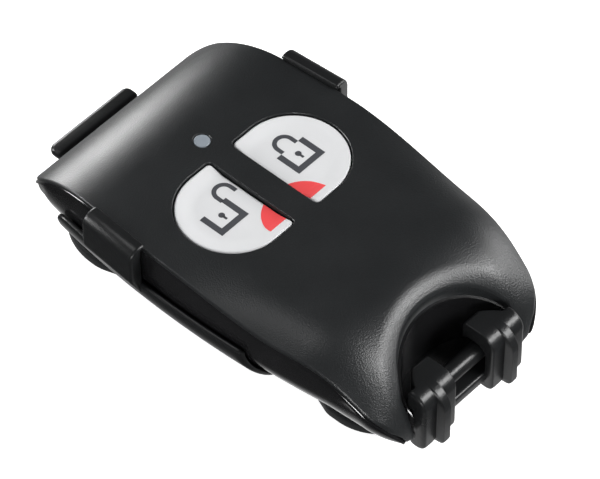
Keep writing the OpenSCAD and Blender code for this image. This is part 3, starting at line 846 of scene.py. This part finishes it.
def bowl_section(share, thick, side):
    """A closed section of one half of the bowl, at a share of its length."""
    thick = thick * bowl_t
    middle_r = back_edge_r + bowl_gap + bowl_t / 2
    middle_z = case_back + back_edge_r
    past = max(0, 1 - (1 - share) * bowl_len / bowl_end_run)
    rim_z = bowl_top - bowl_end_fall * (1 - sqrt(1 - past ** 2))
    rim_turn = pi / 2 - (middle_z - rim_z + bowl_t / 2) / middle_r
    turns = [rim_turn * i / bowl_turn_steps for i in range(bowl_turn_steps + 1)]

    def at(turn, offset):
        radius = middle_r + offset
        low = bowl_low(half_w + bowl_gap + bowl_t / 2 - middle_r + radius * sin(turn))
        y = low + (bowl_top_y - low) * share
        x = half_width(y) - back_edge_r + radius * sin(turn)
        return Vector((side * x, y, middle_z - radius * cos(turn)))

    tip = at(rim_turn, 0)
    cap = [tip + Vector((side * thick / 2 * cos(a), 0, thick / 2 * sin(a))) for a in
           [radians(30 * i) for i in range(1, 6)]]
    return [at(t, thick / 2) for t in turns] + cap + [at(t, -thick / 2) for t in reversed(turns)]


end_share = bowl_end_round / bowl_len
bowl_ends = [(end_share * (1 - cos(a)), max(bowl_least_t, sin(a))) for a in quarter(5)[:-1]]
stations = bowl_ends + [(end_share + (1 - 2 * end_share) * i / bowl_steps, 1)
                        for i in range(bowl_steps + 1)]
stations += [(1 - share, thick) for share, thick in reversed(bowl_ends)]
tray = bmesh.new()
for side in (1, -1):
    stack(tray, [bowl_section(share, thick, side) for share, thick in stations])
floor_plan = both_sides([(tail_hw, tail_end_y, 0.8), (tail_hw, bowl_low_y, 1.4),
                         (floor_hw, bowl_low_y, 1.4), (floor_hw, floor_top_y, 3),
                         (stem_hw, stem_root_y, 2), (stem_hw, stem_y, 0.5)])
stem_plan = both_sides([(stem_hw, tab_low_y, 0.3), (stem_hw, stem_y, 0.3)])
tab_plan = both_sides([(tab_hw, tab_low_y, 0.7), (tab_hw, tab_y, 1)])
slab(tray, floor_plan, cradle_floor, cradle_seat, floor_edge)
slab(tray, stem_plan, cradle_floor, stem_top, stem_edge)
slab(tray, tab_plan, tab_z, tab_top, tab_edge)
place(tray, "cradle_tray", satin_black, "fob", "clip_cradle")

# Claws: two springy arms moulded on the cradle's bowl, with well rounded tops.
# They snap over the long edges of the fob and hold it down with a short lip.
claw_half = 4.5
claw_mid_y = 10.8
claw_in = half_width(claw_mid_y) + 0.3
claw_turn = asin(claw_mid_y / side_r)
claw_t = 1.9
claw_root_t = 0.25
claw_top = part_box("clip_cradle")[1].z / mm
claw_lip = 0.6
claw_round = 1.7
claw_edge = 0.4
claw_root_z = 12.4
claw_bend_z = 15.6
lip_low_z, lip_root_z = 20.45, 20.35
claw_profile = [(0, claw_root_z, 0.1), (claw_root_t, claw_root_z, 0.1), (claw_t, claw_bend_z, 2.5),
                (claw_t, claw_top, claw_round), (-claw_lip, claw_top, 0.4), (-claw_lip, lip_low_z, 0.1),
                (0, lip_root_z, 0.2)]
for side, name in ((1, "claw_right"), (-1, "claw_left")):
    claw = bmesh.new()
    slab(claw, claw_profile, -claw_half, claw_half, claw_edge, axes=(0, 2, 1))
    bmesh.ops.rotate(claw, cent=(0, 0, 0), matrix=Matrix.Rotation(claw_turn, 3, "Z"), verts=claw.verts)
    bmesh.ops.translate(claw, vec=(claw_in, claw_mid_y, 0), verts=claw.verts)
    bmesh.ops.scale(claw, vec=(side, 1, 1), verts=claw.verts)
    bmesh.ops.recalc_face_normals(claw, faces=claw.faces)
    place(claw, name, satin_black, "fob", "clip_cradle", sharp=50)

# Hooks: two fingers moulded on the cradle's tail, which wrap over the lanyard bar and snap round it.
# Each has a raised pad down the middle of its back to push on, and a foot in three round lobes.
hook_in_x = 3.4
hook_out_x = 9.35
hook_gap = 1.55
hook_bend_r = hook_gap - 0.05
hook_foot = 5.0
hook_foot_in = -29.95
hook_end_r = 0.2
hook_steps = 72
leg_out = -32.4
pad_x = 6.3
pad_half = 0.65
pad_h = 1.14
pad_edge = 0.14
inner_round = 0.3
outer_round = 0.5
lobe_fall = 0.3
lobe_full = 0.98
lobe_ends = (hook_in_x, pad_x - pad_half, pad_x + pad_half, hook_out_x)
solid_x = 8.0
solid_step = 0.25
end_in = 0.6
end_bend_r = 0.2
cap_top = 14.7
cap_fall = 0.5
cap_tip = -27.3
cap_tip_far = -29.5
cap_clear_r = 9.9
nub_h = 0.5
least_nub = 0.02
nub_run = 0.9
fold_y = -30.2


def hook_ring(x, inset):
    """Section of a hook across the bar at x: thin behind the grip, closer round the bar's thin end."""
    past_in = min(1, max(0, hook_in_x + inner_round - x) / inner_round)
    past_out = min(1, max(0, x - hook_out_x + outer_round) / outer_round)
    leg = leg_out - pad_h * smooth((pad_half + pad_edge / 2 - abs(x - pad_x)) / pad_edge)
    leg += inner_round * (1 - sqrt(1 - past_in ** 2)) + outer_round * (1 - sqrt(1 - past_out ** 2))
    start, end = next(pair for pair in zip(lobe_ends, lobe_ends[1:]) if x <= pair[1])
    lobe = 2 * (x - start) / (end - start) - 1
    foot = hook_foot + lobe_fall * (1 - sqrt(1 - lobe_full * lobe ** 2))
    top = cap_top - cap_fall * (1 - sqrt(1 - past_out ** 2))
    tip = max(cap_tip_far, min(cap_tip, scallop_y + sqrt(cap_clear_r ** 2 - x ** 2)))
    solid = smooth((x - solid_x) / solid_step)
    under = bar_middle.z + hook_gap - end_in * solid
    leg_in = bar_middle.y - hook_gap + end_in * solid
    bend = hook_bend_r * (1 - solid) + end_bend_r * solid
    nub = nub_h * (1 - solid) + least_nub
    corners = [(hook_foot_in, foot, 0.8), (hook_foot_in, cradle_floor, 0.05), (leg_in, cradle_floor, 0.1),
               (leg_in, under, bend), (tip - nub_run, under, 0.02), (tip, under - nub, 0.02),
               (tip, top, 0.6), (leg, top, fold_y - leg), (leg, foot, 0.95)]
    return [Vector((x, p.x, p.y)) for p in outline(corners, inset, 8)]


hook_ends = [(hook_end_r * (1 - cos(a)), hook_end_r * (1 - sin(a))) for a in quarter(6)[:-1]]
inner_x, outer_x = hook_in_x + hook_end_r, hook_out_x - hook_end_r
hook_spans = [(hook_in_x + step, inset) for step, inset in hook_ends]
hook_spans += [(inner_x + (outer_x - inner_x) * i / hook_steps, 0) for i in range(hook_steps + 1)]
hook_spans += [(hook_out_x - step, inset) for step, inset in reversed(hook_ends)]
for side, name in ((1, "hook_right"), (-1, "hook_left")):
    hook = bmesh.new()
    stack(hook, [hook_ring(x, inset) for x, inset in hook_spans])
    bmesh.ops.scale(hook, vec=(side, 1, 1), verts=hook.verts)
    bmesh.ops.recalc_face_normals(hook, faces=hook.faces)
    place(hook, name, satin_black, "fob", "clip_cradle", sharp=50)

# Hinge ears: two lugs moulded under the cradle's floor.
# They are bored in line for the steel pin that the belt clip rocks on.
hinge_y = -5
hinge_z = 4.15
lug_r = 2.1
lug_root = cradle_floor + 0.6
lug_bend_r = lug_r - 0.02
ear_x = 6.4
ear_t = 1.6
ear_edge = 0.1
pin_hole_r = 1.04
bore_len = 60
lug_low, lug_high = hinge_y - lug_r, hinge_y + lug_r


def bore():
    hole = bmesh.new()
    along_x = Matrix.Translation((0, hinge_y, hinge_z)) @ Matrix.Rotation(radians(90), 4, "Y")
    bmesh.ops.create_cone(hole, cap_ends=True, segments=48, radius1=pin_hole_r, radius2=pin_hole_r,
                          depth=bore_len, matrix=along_x)
    return hole


lug_profile = [(lug_low, hinge_z - lug_r, lug_bend_r), (lug_high, hinge_z - lug_r, lug_bend_r),
               (lug_high, lug_root, 0.1), (lug_low, lug_root, 0.1)]
for side, name in ((1, "ear_right"), (-1, "ear_left")):
    ear = bmesh.new()
    low, high = sorted((side * ear_x, side * (ear_x + ear_t)))
    slab(ear, lug_profile, low, high, ear_edge, axes=(1, 2, 0))
    place(ear, name, satin_black, "fob", "clip_cradle", [bore()])

# Belt clip: a moulded satin black plate that rocks on the pin, with a waist between its lever and its jaw.
# A lip at the jaw's tip keeps the belt in, and a bored block sits between the cradle's ears.
clip_t = 1.8
clip_edge = 0.5
block_hw = 6.25
block_edge = 0.04
jaw_lip_y = 26.0
jaw_lip_end = jaw_lip_y + 1.4
jaw_lip_hw = 7
jaw_lip_top = 6.1
jaw_lip_r = 0.5
jaw_lip_edge = 0.35
clip_plan = both_sides([(6.5, -26, 2.5), (10, -21.5, 8), (10, -17, 3), (7.7, -11, 3), (7.7, 7, 5),
                        (12, 20.5, 6), (12, 25, 10), (9.5, 28.6, 1.2)])
jaw_lip_plan = [(-jaw_lip_hw, jaw_lip_y, jaw_lip_r), (jaw_lip_hw, jaw_lip_y, jaw_lip_r),
                (jaw_lip_hw, jaw_lip_end, jaw_lip_r), (-jaw_lip_hw, jaw_lip_end, jaw_lip_r)]
block_profile = [(lug_high, clip_t / 2, 0.05), (lug_high, hinge_z + lug_r, lug_bend_r),
                 (lug_low, hinge_z + lug_r, lug_bend_r), (lug_low, clip_t / 2, 0.05)]
clip_black = moulded("clip_black", (0.010, 0.0105, 0.011), dull=0.5, grain=0.3, relief=0.03, level=0.08,
                     swing=0.08)
plate = bmesh.new()
slab(plate, clip_plan, 0, clip_t, clip_edge)
slab(plate, jaw_lip_plan, clip_t / 2, jaw_lip_top, jaw_lip_edge)
place(plate, "clip_plate", clip_black, "belt_clip", "belt_clip")
block = bmesh.new()
slab(block, block_profile, -block_hw, block_hw, block_edge, axes=(1, 2, 0))
place(block, "clip_block", clip_black, "belt_clip", "belt_clip", [bore()])


# Works: the steel pin and leaf spring of the clip, and the electronics inside the case.
# All keep their solids and get the surface of the real piece.
def metal(name, colour, dull, brush):
    """Drawn or stamped metal, with fine streaks along Y."""
    streaks_per_mm = 9
    relief = 0.01
    dull_swing = 0.1
    material = bpy.data.materials.new(name)
    material.use_nodes = True
    nodes, links = material.node_tree.nodes, material.node_tree.links
    shader = nodes["Principled BSDF"]
    shader.inputs["Base Color"].default_value = [*colour, 1]
    shader.inputs["Metallic"].default_value = 1
    spot = nodes.new("ShaderNodeTexCoord")
    stretch = nodes.new("ShaderNodeMapping")
    stretch.inputs["Scale"].default_value = (1 / mm, brush / mm, 1 / mm)
    streaks = nodes.new("ShaderNodeTexNoise")
    streaks.inputs["Scale"].default_value = streaks_per_mm
    gloss = nodes.new("ShaderNodeMapRange")
    gloss.inputs["To Min"].default_value = dull - dull_swing
    gloss.inputs["To Max"].default_value = dull + dull_swing
    bump = nodes.new("ShaderNodeBump")
    bump.inputs["Distance"].default_value = relief * mm
    links.new(spot.outputs["Object"], stretch.inputs["Vector"])
    links.new(stretch.outputs["Vector"], streaks.inputs["Vector"])
    links.new(streaks.outputs["Fac"], gloss.inputs["Value"])
    links.new(gloss.outputs["Result"], shader.inputs["Roughness"])
    links.new(streaks.outputs["Fac"], bump.inputs["Height"])
    links.new(bump.outputs["Normal"], shader.inputs["Normal"])
    return material


steel = metal("steel", (0.56, 0.57, 0.58), dull=0.3, brush=0.1)
brass = metal("brass", (0.72, 0.55, 0.25), dull=0.35, brush=0.2)
cell_steel = metal("cell_steel", (0.66, 0.67, 0.68), dull=0.25, brush=1)
chip_black = moulded("chip_black", (0.03, 0.03, 0.033), dull=0.55, grain=0.2, relief=0.02)
board_green = moulded("board_green", (0.02, 0.13, 0.06), dull=0.3, grain=0.5, relief=0.01)
chip_tan = moulded("chip_tan", (0.25, 0.17, 0.09), dull=0.45, grain=0.2, relief=0.01)
finishes = {"clip_pin": steel, "clip_spring": steel, "case_screws": steel, "lock_switch": steel,
            "unlock_switch": steel, "crystal": steel, "battery_clip": steel, "coin_cell": cell_steel,
            "antenna": brass, "battery_contact": brass, "circuit_board": board_green,
            "radio_chip": chip_black, "lock_plunger": chip_black, "unlock_plunger": chip_black,
            "board_passives": chip_tan, "indicator_led": lens_grey}
for node, finish in finishes.items():
    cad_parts[node].data.materials.clear()
    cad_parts[node].data.materials.append(finish)
